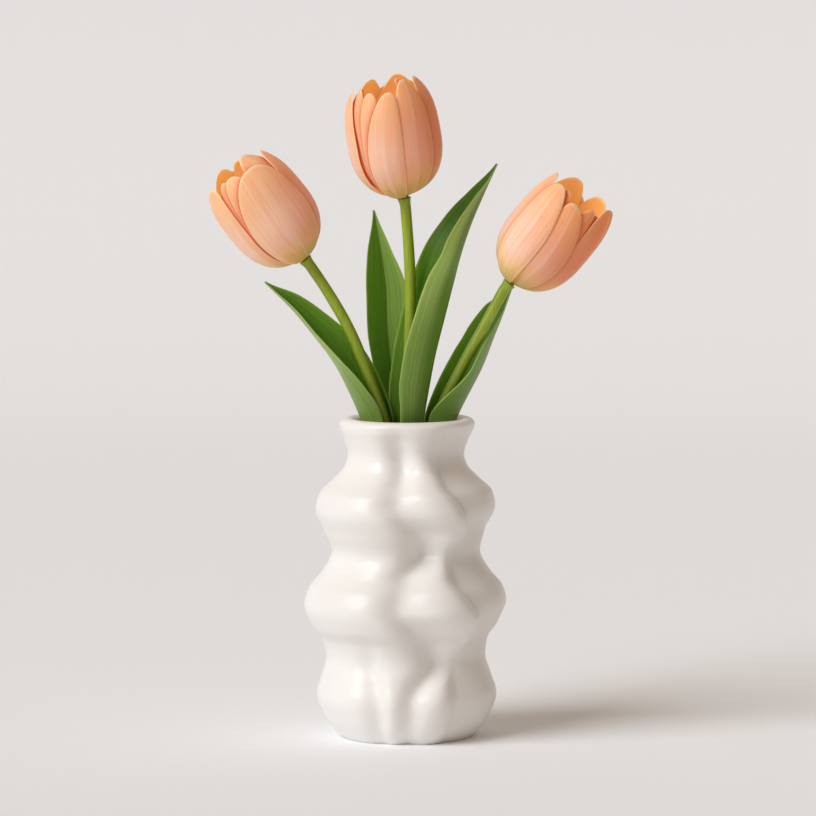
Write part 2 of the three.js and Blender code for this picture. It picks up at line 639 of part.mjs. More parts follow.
// The stamens: stalks with long anthers, grown from a ring round the knob
function stamensGeometry(stem) {
  const { place } = bloomFrame(stem);
  const { inner, outer, low, high } = STAMEN_RING;
  const ringAt = (radius, height) => (
    Array.from({ length: PISTIL_SIDES }, (_, i) => place((360 * i) / PISTIL_SIDES, radius, height))
  );
  const drum = solidFrom(loft([ringAt(outer, low), ringAt(outer, high)]));
  const hole = solidFrom(loft([ringAt(inner, low - 1), ringAt(inner, high + 1)]));
  let joined = drum.subtract(hole);
  for (let i = 0; i < STAMEN_COUNT; i += 1) {
    const bearing = (360 * (i + 0.5)) / STAMEN_COUNT;
    const rings = STAMEN_ROWS.map(([height, reach, radius]) => {
      const middle = place(bearing, reach, height);
      const outwards = place(bearing, reach + 1, height).sub(middle);
      const sideways = place(bearing + 90, 1, 0).sub(place(0, 0, 0));
      return [[1, 0], [0, 1], [-1, 0], [0, -1]].map(([out, across]) => middle.clone()
        .addScaledVector(outwards, out * radius)
        .addScaledVector(sideways, across * radius));
    });
    joined = joined.add(solidFrom(loft(rings)));
  }
  return geometryOf(joined);
}

// The whole arrangement
const arrangement = new THREE.Group();

function addPiece(name, geometry, look) {
  const mesh = new THREE.Mesh(geometry, new THREE.MeshStandardMaterial(COLOURS[look]));
  mesh.name = name;
  arrangement.add(mesh);
}

addPiece('vase', vaseGeometry(), 'vase');
addPiece('water', waterGeometry(), 'water');
for (const [name, stations] of Object.entries(LEAVES)) addPiece(name, leafGeometry(stations), 'leaf');
for (const [name, tulip] of Object.entries(TULIPS)) {
  addPiece(`${name}_stem`, stemGeometry(tulip), 'stem');
  addPiece(`${name}_pistil`, pistilGeometry(tulip), 'pistil');
  addPiece(`${name}_stamens`, stamensGeometry(tulip), 'stamen');
  for (const [whorl, petals] of Object.entries(PETALS[name])) {
    petals.forEach((petal, i) => {
      addPiece(`${name}_${whorl}_petal_${i + 1}`, petalGeometry(tulip, petal), 'petal');
    });
  }
}

export default arrangement;
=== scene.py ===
"""Looks of the tulips in a vase: finer vase, stems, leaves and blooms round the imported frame.

The front is towards -Y and +X is to the viewer's right. A bearing is an angle round the upright:
0 is the front, 90 is +X and -90 is -X. Sizes are in millimetres until a mesh is made in metres.
"""
import math

import bpy
import numpy as np
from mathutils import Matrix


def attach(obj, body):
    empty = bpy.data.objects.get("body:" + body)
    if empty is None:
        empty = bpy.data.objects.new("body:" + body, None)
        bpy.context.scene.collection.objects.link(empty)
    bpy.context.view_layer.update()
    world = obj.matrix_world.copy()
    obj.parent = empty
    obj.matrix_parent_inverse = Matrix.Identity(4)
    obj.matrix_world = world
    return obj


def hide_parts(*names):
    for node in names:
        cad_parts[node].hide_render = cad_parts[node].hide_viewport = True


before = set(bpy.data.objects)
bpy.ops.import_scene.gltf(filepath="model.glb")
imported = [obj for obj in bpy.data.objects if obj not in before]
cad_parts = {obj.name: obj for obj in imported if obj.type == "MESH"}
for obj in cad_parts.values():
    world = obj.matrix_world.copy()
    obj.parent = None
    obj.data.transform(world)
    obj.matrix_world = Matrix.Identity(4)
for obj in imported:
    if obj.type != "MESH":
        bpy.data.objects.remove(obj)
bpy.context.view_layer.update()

MM = 0.001

# Vase: outer radius over its lobes at each height, and the grooves between the lobes
VASE_HEIGHT = 177
VASE_OUTLINE = [
    (0, 36.3), (1.5, 38), (4.4, 41), (12, 46.4), (24.3, 50.6), (34.4, 47.8), (44.5, 45.2), (54.6, 47.9),
    (62.7, 54), (73.8, 57.9), (82.9, 55.2), (92, 47.6), (103.2, 42.1), (114.3, 46.6), (127, 51.5),
    (135.5, 49.2), (143.6, 41), (150.7, 34.8), (156.8, 33.2), (164.9, 35.2), (171.4, 37.4),
]
LIP_OUTER = 37.7
LIP_HEIGHT = 172.5
LIP_INSIDE_DEPTH = 12
OPENING_RADIUS = 28.4
VASE_WALL = 5
VASE_FLOOR = 6
FLOOR_CORNER = 5

# Valleys between the vase's lobes, by height: bearing, depth and the reach of each flank
FRONT_VALLEY = {
    "bearing": [
        (0, 1), (24, 3), (33, 9), (45, 24), (57, 16), (66, 5), (75, -4), (91, 0), (105, 15), (116, 11),
        (124, 1), (133, -6), (141, -6), (149, -4), (157, -7), (166, -10),
    ],
    "depth": [
        (0, 3), (24, 5), (34, 6.5), (48, 10), (60, 11), (74, 8), (90, 8), (106, 11.5), (116, 11),
        (127, 7.5), (146, 7), (157, 6.5), (166, 4.5), (172, 1.5), (177, 0),
    ],
    "left": [(0, 9), (24, 9), (50, 17), (74, 12), (106, 17), (127, 13), (157, 12)],
    "right": [
        (0, 9), (24, 10), (50, 13), (74, 20), (90, 16), (106, 14), (127, 20), (141, 13), (157, 11),
    ],
}
RIGHT_VALLEY = {
    "bearing": [
        (0, 36), (24, 38), (41, 42), (57, 59), (68, 57), (80, 47), (91, 40), (104, 46), (116, 57),
        (123, 53), (133, 45), (141, 38), (157, 42), (168, 42),
    ],
    "depth": [
        (0, 2.5), (24, 6), (48, 6), (68, 9), (90, 8.5), (104, 6), (120, 9.5), (141, 9), (157, 8),
        (166, 6), (172, 2), (177, 0),
    ],
    "left": [(0, 8), (24, 9), (50, 14), (68, 9), (91, 9), (104, 12), (120, 9), (141, 9), (157, 15)],
    "right": [(0, 40), (177, 40)],
}
BACK_DEPTH = [(0, 2.4), (24, 5), (74, 6), (103, 5), (127, 6), (157, 4), (168, 2), (177, 0)]
BACK_RIGHT_VALLEY = {
    "bearing": [(0, 126), (44, 122), (74, 130), (103, 122), (127, 130), (157, 124)],
    "depth": BACK_DEPTH,
    "left": [(0, 18), (177, 18)],
    "right": [(0, 12), (177, 12)],
}
BACK_VALLEY = {
    "bearing": [(0, 184), (44, 188), (74, 180), (103, 188), (127, 180), (157, 186)],
    "depth": BACK_DEPTH,
    "left": [(0, 14), (177, 14)],
    "right": [(0, 14), (177, 14)],
}
BACK_LEFT_VALLEY = {
    "bearing": [(0, 244), (44, 240), (74, 248), (103, 240), (127, 248), (157, 242)],
    "depth": BACK_DEPTH,
    "left": [(0, 12), (177, 12)],
    "right": [(0, 18), (177, 18)],
}
LEFT_DIP = {
    "bearing": [(0, -22), (16, -20), (24, -20), (33, -22), (45, -27)],
    "depth": [(0, 2.2), (16, 3.4), (33, 3), (45, 2.2), (56, 1), (66, 0)],
    "left": [(0, 9), (45, 9)],
    "right": [(0, 7), (45, 7)],
}
VALLEYS = [FRONT_VALLEY, RIGHT_VALLEY, BACK_RIGHT_VALLEY, BACK_VALLEY, BACK_LEFT_VALLEY, LEFT_DIP]

# Stems: the route from the cut end to below the bloom, and the joint with the bloom
STEM_RADIUS = 3.3
STEM_TOP_RADIUS = 2.95
KNOB_RADIUS = 2.6
KNOB_TOP = 6
SHOULDER_RADIUS = 3.8
SHOULDER_DROP = 0.8
NECK_LENGTH = 5
SEAT_GAP = 0.3
STEMS = {
    "left": {
        "route": [
            (-10, -6, 6.5), (-9.4, -8, 60), (-8.4, -10.4, 122), (-8.9, -11.2, 151), (-12.6, -11.5, 176),
            (-20.0, -12.2, 197), (-31.2, -14, 225.3), (-44.0, -15.4, 248),
        ],
        "joint": (-56.5, -16, 265.8),
    },
    "middle": {
        "route": [
            (0, 0, 6.5), (0.2, -2.4, 60), (-0.1, -6, 122), (-0.5, -8.6, 151), (-0.6, -10, 176),
            (0.9, -11, 213), (1.7, -11.4, 244), (0.7, -11.6, 271),
        ],
        "joint": (-2, -12, 299.4),
    },
    "right": {
        "route": [
            (11, -3, 6.5), (10.6, -5.4, 60), (10.6, -7.6, 122), (12, -8.3, 151), (15.7, -8.6, 176),
            (27.4, -10.2, 201), (40.4, -11.2, 225),
        ],
        "joint": (56.4, -12, 252.5),
    },
}

# Leaves, at stations from the base to the tip: the midrib's place, the bearing that the channel
# faces, the fold and curl of each half, and the two half widths
LEAVES = {
    "left_leaf": [
        ((-12.45, -8.35, 122), 63, 8, 13, 5, 5),
        ((-15.5, -8.3, 151), 63, 22, 6.5, 9.5, 9.5),
        ((-25, -5, 176), 63, 42, 3.6, 19, 17),
        ((-33, -4, 194), 58, 39, 2.3, 18.6, 19),
        ((-40.7, -3.5, 208.3), 53, 41, 1.5, 17.6, 18.4),
        ((-53.8, -3.5, 225.6), 53, 46, 1.2, 13.5, 14.6),
        ((-64.3, -4, 238.2), 53, 52, 0.8, 8.8, 9.5),
        ((-78.4, -5, 252.1), 53, 54, 0, 0.6, 0.6),
    ],
    "right_leaf": [
        ((14.3, -5.7, 122), -63, 8, 13, 5, 5),
        ((18, -6, 151), -63, 22, 6.5, 11, 9.5),
        ((26.4, -2.5, 176), -63, 42, 3.4, 20, 18),
        ((41, -2.5, 205.5), -63, 34, 1.2, 18, 18.4),
        ((47.1, 0, 221), -63, 31, 1, 12, 16.5),
        ((52.4, 2.5, 234.3), -63, 30, 1, 8, 12),
        ((57.3, 3.5, 248.1), -63, 40, 0, 0.6, 0.6),
    ],
    "front_leaf": [
        ((4.45, -5.75, 118), -90, 8, 13, 5, 5),
        ((5.6, -9, 151), -90, 12, 6.8, 13, 13),
        ((8.4, -13.5, 176), -90, 25, 3.8, 15.8, 22),
        ((11.8, -14, 197), -90, 25, 3, 20.6, 26),
        ((14.8, -14.5, 212.7), -88, 30, 2.4, 21.5, 26.5),
        ((20.2, -14, 234.3), -85, 38, 1.8, 20.5, 26),
        ((24.9, -13, 252.6), -78, 42, 1.2, 20.5, 24),
        ((29, -12.5, 268.1), -70, 44, 0.4, 20.5, 21),
        ((34.4, -12, 284.2), -71, 46, 0.2, 15.5, 15.2),
        ((39.7, -12, 296.9), -68, 46, 0.2, 11, 9),
        ((49, -12, 317.2), -50, 45, 0, 0.6, 0.6),
    ],
    "back_leaf": [
        ((-1.2, 0, 98), 15, 8, 13, 5, 5),
        ((-2, 2.5, 118), 15, 15, 5, 7, 7),
        ((-3.5, 8.5, 151), 15, 22, 2, 9, 9),
        ((-5.5, 12.5, 176), 15, 25, 1, 10.5, 10.5),
        ((-9.5, 14, 206), 15, 25, 0.6, 12, 13),
        ((-11.4, 14, 226), 15, 24, 0.5, 13, 15),
        ((-12.2, 12.5, 248), 12, 24, 0.5, 11.8, 13.7),
        ((-14.8, 10, 269), 10, 24, 0.4, 6, 8.8),
        ((-18.6, 8, 290.8), 10, 24, 0, 0.6, 0.6),
    ],
}

# Blooms: how far the axis leans to the right and nods to the front, and the cup's radius and closing
BLOOMS = {
    "left": {"lean": -38.8, "nod": 8, "radius": 25.5, "closing": 0.5},
    "middle": {"lean": -9.6, "nod": 8, "radius": 26.5, "closing": 0.5},
    "right": {"lean": 39.8, "nod": 8, "radius": 24.8, "closing": 0.3},
}
CUP_WIDEST = 31
CUP_HEIGHT = 70
CUP_ROUNDNESS = 2.25
CUP_CLOSING_POWER = 3.1

# Petals: the middle's bearing, half angle, height of the tip on the cup, how far the tip leans to
# the right, and the layers of the left and right edges, counted inwards
PETALS = {
    "left": {
        "outer": [
            (13.7, 45.3, 59.6, 9, (0, 0)), (-77, 39, 63, 14, (1, 1)), (192, 40, 61, 0, (1, 1)),
            (-2, 28, 62.8, -8, (1, 1)), (97, 41, 62, -10, (1, 0)), (-148, 36, 66.5, -6, (2, 2)),
        ],
        "inner": [
            (-22, 21, 63.2, -7, (2, 2)), (45, 40, 68.2, 0, (2, 2)), (162, 32, 66, 0, (3, 3)),
            (-105, 26, 60, 0, (3, 3)),
        ],
        "innermost": [(-50, 24, 58, 0, (3, 3))],
    },
    "middle": {
        "outer": [
            (-14, 22, 61.5, 17, (0, 0)), (-92, 36, 63.5, 6, (1, 1)), (178, 34, 60, 0, (1, 1)),
            (26.5, 28, 66.8, 12, (1, 1)), (-24, 19, 62.8, -5, (1, 1)), (-150, 30, 66.5, 0, (2, 2)),
            (128, 30, 63, 0, (2, 2)),
        ],
        "inner": [
            (84, 34, 66, -2, (2, 0)), (-34, 17, 65.5, -26, (2, 2)), (170, 44, 69.3, -32, (3, 3)),
        ],
        "innermost": [(50, 22, 69.5, -14, (3, 3)), (-64, 28, 66, 0, (3, 3))],
    },
    "right": {
        "outer": [
            (-29, 27.5, 61.4, -10, (0, 0)), (190, 40, 60, 0, (0, 0)), (15, 27, 58.8, -17, (1, 1)),
            (-24, 19, 62.3, -2, (2, 2)), (-96, 42, 63.8, 15, (1, 1)), (146, 34, 66.6, 0, (1, 1)),
            (77.5, 40, 67, -12, (2, 0)),
        ],
        "inner": [
            (15, 18, 62.2, 12, (2, 2)), (-156, 38, 67.2, 0, (2, 2)), (-60, 25, 59, 0, (3, 3)),
            (50, 26, 61, -8, (3, 3)),
        ],
        "innermost": [],
    },
}
LAYER_STEP = 1.25
PETAL_WIDEST = 0.5
PETAL_TIP_POWER = 0.38
PETAL_LEAN_FROM = 0.4

# How finely the meshes are divided
VASE_COLUMNS = 240
VASE_ROW = 1.3
VASE_INSIDE_ROW = 1.6 * VASE_ROW
FOOT_ROWS = (0, 0.7, 1.5)
BELOW_LIP = 1
ABOVE_FLOOR = 0.2
LIP_ROWS = 16
CUP_SAMPLES = 4000
PETAL_ROWS = 44
PETAL_COLUMNS = 26
LEAF_ROWS = 120
LEAF_HALF_COLUMNS = 16
STEM_SIDES = 28
STEM_ROWS = 130

RNG = np.random.default_rng(7)


def unit(vectors):
    """The vectors at length 1."""
    return vectors / np.linalg.norm(vectors, axis=-1, keepdims=True)


def along_bearing(bearing):
    """The level direction of a bearing."""
    angle = np.radians(bearing)
    return np.stack([np.sin(angle), -np.cos(angle), np.zeros_like(angle)], axis=-1)


def smoothstep(x, low, high):
    """From 0 at the low end to 1 at the high end, level at both."""
    t = np.clip((x - low) / (high - low), 0, 1)
    return t * t * (3 - 2 * t)


def smooth_through(pairs):
    """A smooth function through (place, value) pairs that never swings past them."""
    xs, ys = np.array(pairs, dtype=float).T
    rise = np.diff(ys) / np.diff(xs)
    slope = np.zeros_like(ys)
    slope[0], slope[-1] = rise[0] / 2, rise[-1] / 2
    for i in range(1, len(xs) - 1):
        before, after = rise[i - 1], rise[i]
        if before * after > 0:
            slope[i] = 2 * before * after / (before + after)

    def value(x):
        x = np.clip(x, xs[0], xs[-1])
        i = np.clip(np.searchsorted(xs, x, side="right") - 1, 0, len(xs) - 2)
        width = xs[i + 1] - xs[i]
        t = (x - xs[i]) / width
        s = 1 - t
        return (ys[i] * (1 + 2 * t) * s * s + slope[i] * width * t * s * s
                + ys[i + 1] * t * t * (3 - 2 * t) - slope[i + 1] * width * t * t * s)

    return value


def curve_through(points, count):
    """Points and tangents evenly spread by knots on a centripetal Catmull-Rom curve."""
    points = np.array(points, dtype=float)
    before = 2 * points[0] - points[1]
    after = 2 * points[-1] - points[-2]
    knots = np.vstack([before, points, after])
    places = np.linspace(0, len(points) - 1, count)
    out = []
    for place in places:
        i = min(int(place), len(points) - 2)
        p0, p1, p2, p3 = knots[i:i + 4]
        d0, d1, d2 = (max(np.linalg.norm(b - a) ** 0.5, 1e-6)
                      for a, b in ((p0, p1), (p1, p2), (p2, p3)))
        m1 = (p1 - p0) / d0 - (p2 - p0) / (d0 + d1) + (p2 - p1) / d1
        m2 = (p2 - p1) / d1 - (p3 - p1) / (d1 + d2) + (p3 - p2) / d2
        m1, m2 = m1 * d1, m2 * d1
        t = place - i
        out.append((2 * t**3 - 3 * t**2 + 1) * p1 + (t**3 - 2 * t**2 + t) * m1
                   + (-2 * t**3 + 3 * t**2) * p2 + (t**3 - t**2) * m2)
    out = np.array(out)
    return out, unit(np.gradient(out, axis=0))


def mesh_object(name, points, faces, material, values=None):
    """A smooth-shaded object from points in millimetres, with a value per point for its material."""
    mesh = bpy.data.meshes.new(name)
    mesh.from_pydata((points * MM).tolist(), [], faces)
    for key, numbers in (values or {}).items():
        layer = mesh.attributes.new(key, "FLOAT", "POINT")
        layer.data.foreach_set("value", np.asarray(numbers, dtype=np.float32))
    mesh.validate()
    mesh.shade_smooth()
    mesh.materials.append(material)
    piece = bpy.data.objects.new(name, mesh)
    bpy.context.scene.collection.objects.link(piece)
    return piece


def loft(rings):
    """Points and faces of a closed solid through rings, each ring turning left seen from the last."""
    rows, sides = rings.shape[:2]
    points = np.vstack([rings.reshape(-1, 3), rings[0].mean(axis=0), rings[-1].mean(axis=0)])
    bottom, top = rows * sides, rows * sides + 1
    faces = []
    for row in range(rows - 1):
        for side in range(sides):
            a, b = row * sides + side, row * sides + (side + 1) % sides
            faces.append((a, b, b + sides, a + sides))
    last = (rows - 1) * sides
    for side in range(sides):
        after = (side + 1) % sides
        faces += [(bottom, after, side), (top, last + side, last + after)]
    return points, faces


def blade(front, back):
    """Points and faces of a closed blade between two grids of points."""
    rows, columns = front.shape[:2]
    behind = rows * columns
    at = np.arange(behind).reshape(rows, columns)
    a, b, c, d = at[:-1, :-1], at[:-1, 1:], at[1:, 1:], at[1:, :-1]
    faces = np.stack([a, b, c, d], axis=-1).reshape(-1, 4).tolist()
    faces += (np.stack([a, d, c, b], axis=-1).reshape(-1, 4) + behind).tolist()
    rim = [*at[0, :], *at[1:, -1], *at[-1, -2::-1], *at[-2:0:-1, 0]]
    for one, two in zip(rim, rim[1:] + rim[:1]):
        faces.append((int(two), int(one), int(one) + behind, int(two) + behind))
    return np.vstack([front.reshape(-1, 3), back.reshape(-1, 3)]), faces


def circles(centres, directions, radii, sides):
    """Rings of points round the centres, each square to its direction."""
    side = unit(np.cross(np.array([0.0, -1.0, 0.0]), directions))
    other = np.cross(directions, side)
    angle = np.linspace(0, 2 * math.pi, sides, endpoint=False)[None, :, None]
    ring = side[:, None] * np.cos(angle) + other[:, None] * np.sin(angle)
    return centres[:, None] + ring * np.asarray(radii)[:, None, None]


# Materials
def rgb(red, green, blue):
    """A colour as it looks on a screen, in 0 to 255, as the linear colour that shaders take."""
    screen = np.array([red, green, blue]) / 255
    linear = np.where(screen <= 0.04045, screen / 12.92, ((screen + 0.055) / 1.055) ** 2.4)
    return (*linear.tolist(), 1.0)


# Painted shade on stems and leaves near the vase's rim, below this height
SHADE_TOP = 235
LEAF_RIM_SHADE = 0.4
STEM_RIM_SHADE = 0.76


class Material:
    """A node material whose helpers return output sockets."""

    def __init__(self, name):
        self.material = bpy.data.materials.new(name)
        self.material.use_nodes = True
        self.tree = self.material.node_tree
        self.shader = self.tree.nodes["Principled BSDF"]

    def node(self, kind, **settings):
        made = self.tree.nodes.new(kind)
        for key, value in settings.items():
            setattr(made, key, value)
        return made

    def link(self, value, socket):
        if isinstance(value, bpy.types.NodeSocket):
            self.tree.links.new(value, socket)
        else:
            socket.default_value = value

    def value(self, key):
        return self.node("ShaderNodeAttribute", attribute_name=key).outputs["Fac"]

    def place(self):
        return self.node("ShaderNodeTexCoord").outputs["Object"]

    def math(self, operation, one, two=0.0, clamp=False):
        made = self.node("ShaderNodeMath", operation=operation, use_clamp=clamp)
        self.link(one, made.inputs[0])
        self.link(two, made.inputs[1])
        return made.outputs[0]

    def vector(self, x, y, z):
        made = self.node("ShaderNodeCombineXYZ")
        for value, socket in zip((x, y, z), made.inputs):
            self.link(value, socket)
        return made.outputs[0]

    def noise(self, place, scale, detail=3.0, roughness=0.5):
        made = self.node("ShaderNodeTexNoise")
        self.link(place, made.inputs["Vector"])
        self.link(scale, made.inputs["Scale"])
        self.link(detail, made.inputs["Detail"])
        self.link(roughness, made.inputs["Roughness"])
        return made.outputs["Fac"]

    def ramp(self, value, stops, interpolation="EASE"):
        made = self.node("ShaderNodeValToRGB")
        made.color_ramp.interpolation = interpolation
        while len(made.color_ramp.elements) < len(stops):
            made.color_ramp.elements.new(0.5)
        for element, (position, colour) in zip(made.color_ramp.elements, stops):
            element.position = position
            element.color = colour
        self.link(value, made.inputs["Fac"])
        return made.outputs["Color"]

    def mix(self, amount, one, two):
        made = self.node("ShaderNodeMix", data_type="RGBA")
        self.link(amount, made.inputs[0])
        self.link(one, made.inputs[6])
        self.link(two, made.inputs[7])
        return made.outputs[2]

    def grain(self, across, along, seed, detail, roughness=0.5):
        """Noise that follows a petal or leaf, scaled each way, with its own pattern for each seed."""
        scales = {"across": across, "along": along, "seed": seed}
        parts = [self.math("MULTIPLY", self.value(key), scale) for key, scale in scales.items()]
        return self.noise(self.vector(*parts), 1.0, detail, roughness)

    def beyond(self, value, start, gain):
        """How far a value lies past the start, times the gain, from 0 to 1."""
        past = self.math("SUBTRACT", value, start, clamp=True)
        return self.math("MULTIPLY", past, gain, clamp=True)

    def lessened(self, value, other, share):
        """A value made smaller by a share of another one."""
        kept = self.math("SUBTRACT", 1.0, self.math("MULTIPLY", other, share))
        return self.math("MULTIPLY", value, kept)

    def low(self, most):
        """Painted shade: the most at the vase's rim, falling to 0 at the height where it ends."""
        parts = self.node("ShaderNodeSeparateXYZ")
        self.link(self.place(), parts.inputs[0])
        above = self.math("SUBTRACT", SHADE_TOP * MM, parts.outputs["Z"])
        share = self.math("MULTIPLY", above, 1 / ((SHADE_TOP - VASE_HEIGHT) * MM), clamp=True)
        return self.math("MULTIPLY", share, most)

    def bump(self, height, distance, strength):
        made = self.node("ShaderNodeBump")
        self.link(height, made.inputs["Height"])
        made.inputs["Distance"].default_value = distance
        made.inputs["Strength"].default_value = strength
        self.tree.links.new(made.outputs[0], self.shader.inputs["Normal"])

    def set(self, **inputs):
        for key, value in inputs.items():
            self.link(value, self.shader.inputs[key.replace("_", " ")])


BLACK = (0.0, 0.0, 0.0, 1.0)
GLAZE = [(0.3, rgb(236, 234, 231)), (0.7, rgb(240, 238, 235))]

# Petals, from the claw to the tip: outside on the side painted as lit and the side painted as shaded,
# and inside
PETAL_LIT = [
    (0.0, rgb(176, 172, 80)), (0.16, rgb(216, 200, 122)), (0.3, rgb(246, 212, 168)),
    (0.42, rgb(255, 217, 198)), (0.56, rgb(255, 213, 190)), (0.8, rgb(255, 202, 162)),
    (1.0, rgb(255, 194, 142)),
]
PETAL_SHADED = [
    (0.0, rgb(160, 146, 48)), (0.16, rgb(204, 166, 78)), (0.3, rgb(236, 162, 96)),
    (0.42, rgb(235, 128, 70)), (0.56, rgb(234, 117, 50)), (0.8, rgb(238, 122, 42)),
    (1.0, rgb(248, 142, 54)),
]
PETAL_INSIDE = [
    (0.0, rgb(236, 206, 100)), (0.16, rgb(255, 190, 100)), (0.6, rgb(255, 194, 112)),
    (1.0, rgb(255, 212, 142)),
]
# Inside colour painted on the side away from the light
PETAL_INSIDE_SHADED = rgb(236, 146, 62)
PETAL_MARGIN = rgb(255, 198, 146)
PETAL_STREAK = rgb(244, 150, 94)
# Painted highlight along a petal's middle rib
PETAL_CREASE_HIGHLIGHT = rgb(255, 220, 190)
# Painted highlight along a petal's rim
PETAL_RIM_HIGHLIGHT = rgb(255, 234, 204)
# Painted shadow beside the edge of a covering petal
PETAL_GAP_SHADOW = rgb(214, 92, 20)
CREASE_HALF_WIDTH = 0.11
CREASE_GAIN = 2.4
MARGIN_SHARE = 0.75
GAP_SHADOW_SHARE = 0.95
INSIDE_SHADE_SHARE = 0.65
CLOUD_DRIFT = 0.25

# A weak glow stands in for the daylight that passes through a petal
GLOW_OUTSIDE = rgb(150, 68, 26)
GLOW_INSIDE = rgb(240, 204, 122)
GLOW_STRENGTH = 0.18

# Leaves, by their veins, and stems, by their streaks
LEAF_OUTSIDE = [(0.3, rgb(90, 129, 30)), (0.5, rgb(104, 142, 42)), (0.72, rgb(124, 157, 64))]
LEAF_INSIDE = [(0.3, rgb(82, 124, 18)), (0.55, rgb(104, 144, 30)), (0.75, rgb(126, 162, 50))]
LEAF_FROST = rgb(170, 196, 110)
LEAF_PAINTED_SHADE = rgb(50, 80, 6)
LEAF_SHADED = rgb(68, 100, 14)
LEAF_MARGIN = rgb(176, 196, 132)
LEAF_MARGIN_FROM = 0.965
FROST_GAIN = 1.8
STEM_STREAKS = [(0.3, rgb(138, 161, 32)), (0.55, rgb(158, 177, 44)), (0.75, rgb(176, 190, 62))]
STEM_CLOUD = rgb(132, 162, 38)
STEM_SHADED = rgb(96, 118, 14)
STREAK_STRETCH = 0.08
CLOUD_SHARE = 0.5


def vase_material():
    """White glaze, a little uneven in tone, with a faint orange-peel surface."""
    look = Material("vase_glaze")
    place = look.place()
    tint = look.ramp(look.noise(place, scale=14.0, detail=2.0), GLAZE)
    look.set(Base_Color=tint, Roughness=0.3, IOR=1.5, Specular_IOR_Level=0.3)
    look.bump(look.noise(place, scale=90.0, detail=2.0), distance=0.0003, strength=0.25)
    return look.material


def petal_material():
    """Peach petals: pink at the belly, orange at the tip and edges, yellow-green at the claw, with
    painted light and shade by the side each part faces, painted highlights on the middle rib and rim,
    and painted shadow beside covering edges.
    """
    look = Material("petal")
    along, inside, painted_shade = look.value("along"), look.value("inside"), look.value("painted_shade")
    edge = look.math("ABSOLUTE", look.value("across"))
    streaks = look.grain(across=13.0, along=1.6, seed=9.0, detail=4.0, roughness=0.6)
    clouds = look.grain(across=2.2, along=3.0, seed=17.0, detail=2.0)
    drift = look.math("MULTIPLY", look.math("SUBTRACT", clouds, 0.5), CLOUD_DRIFT)
    shifted = look.math("ADD", along, drift)
    # Painted light and shade: the lit colours where a petal faces the light, the shaded ones away from
    # it
    outer = look.mix(painted_shade, look.ramp(shifted, PETAL_LIT), look.ramp(shifted, PETAL_SHADED))
    margin = look.math("MULTIPLY", look.math("POWER", edge, 3.0), MARGIN_SHARE)
    outer = look.mix(look.lessened(margin, painted_shade, share=0.85), outer, PETAL_MARGIN)
    outer = look.mix(look.beyond(streaks, start=0.42, gain=1.3), outer, PETAL_STREAK)
    inner = look.ramp(along, PETAL_INSIDE)
    # Painted shade on the inside as well, on the side away from the light
    inner = look.mix(look.math("MULTIPLY", painted_shade, INSIDE_SHADE_SHARE), inner, PETAL_INSIDE_SHADED)
    colour = look.mix(inside, outer, inner)
    # Painted highlight along the middle rib, on the outside only
    near_middle = look.math("SUBTRACT", CREASE_HALF_WIDTH, edge, clamp=True)
    crease_highlight = look.lessened(look.math("MULTIPLY", near_middle, CREASE_GAIN), inside, share=1.0)
    colour = look.mix(crease_highlight, colour, PETAL_CREASE_HIGHLIGHT)
    # Painted highlight along the rim, fainter on the side painted as shaded
    rim = look.lessened(look.beyond(look.value("rim"), start=0.35, gain=1.2), painted_shade, share=0.6)
    colour = look.mix(rim, colour, PETAL_RIM_HIGHLIGHT)
    # Painted shadow beside the edge of a petal that covers this one, on the outside
    outside = look.math("SUBTRACT", GAP_SHADOW_SHARE, inside, clamp=True)
    gap_shadow = look.math("MULTIPLY", look.value("shade"), outside)
    colour = look.mix(gap_shadow, colour, PETAL_GAP_SHADOW)
    glow = look.mix(inside, look.mix(painted_shade, GLOW_OUTSIDE, BLACK), GLOW_INSIDE)
    look.set(Base_Color=colour, Roughness=0.5, Specular_IOR_Level=0.24, Sheen_Weight=0.03,
             Sheen_Roughness=0.4, Subsurface_Weight=0.5, Subsurface_Scale=0.001,
             Subsurface_Radius=(1.0, 0.8, 0.6), Emission_Color=glow, Emission_Strength=GLOW_STRENGTH)
    look.bump(streaks, distance=0.0006, strength=0.3)
    return look.material


def leaf_material():
    """Waxy leaves: a grey-green bloom outside, deep green inside, fine veins along the blade, with
    painted shade near the vase's rim and under a bloom.
    """
    look = Material("leaf")
    edge = look.math("ABSOLUTE", look.value("across"))
    veins = look.grain(across=26.0, along=1.6, seed=11.0, detail=3.0, roughness=0.55)
    clouds = look.grain(across=1.5, along=5.0, seed=5.0, detail=2.0)
    mottle = look.math("ADD", look.math("MULTIPLY", veins, 0.6), look.math("MULTIPLY", clouds, 0.4))
    outer, inner = look.ramp(mottle, LEAF_OUTSIDE), look.ramp(veins, LEAF_INSIDE)
    colour = look.mix(look.value("inside"), outer, inner)
    frost_and_shade = look.value("frost_and_shade")
    frosted = look.math("MULTIPLY", frost_and_shade, look.math("MULTIPLY", veins, FROST_GAIN))
    colour = look.mix(frosted, colour, LEAF_FROST)
    # Painted shade where the value falls below nought, as under a bloom
    colour = look.mix(look.math("MULTIPLY", frost_and_shade, -1.0, clamp=True), colour, LEAF_PAINTED_SHADE)
    # Painted shade near the vase's rim
    colour = look.mix(look.low(LEAF_RIM_SHADE), colour, LEAF_SHADED)
    colour = look.mix(look.beyond(edge, start=LEAF_MARGIN_FROM, gain=14.0), colour, LEAF_MARGIN)
    look.set(Base_Color=colour, Roughness=0.42, Specular_IOR_Level=0.32, Sheen_Weight=0.04,
             Subsurface_Weight=0.6, Subsurface_Scale=0.003, Subsurface_Radius=(0.7, 1.0, 0.15))
    look.bump(veins, distance=0.0007, strength=0.6)
    return look.material


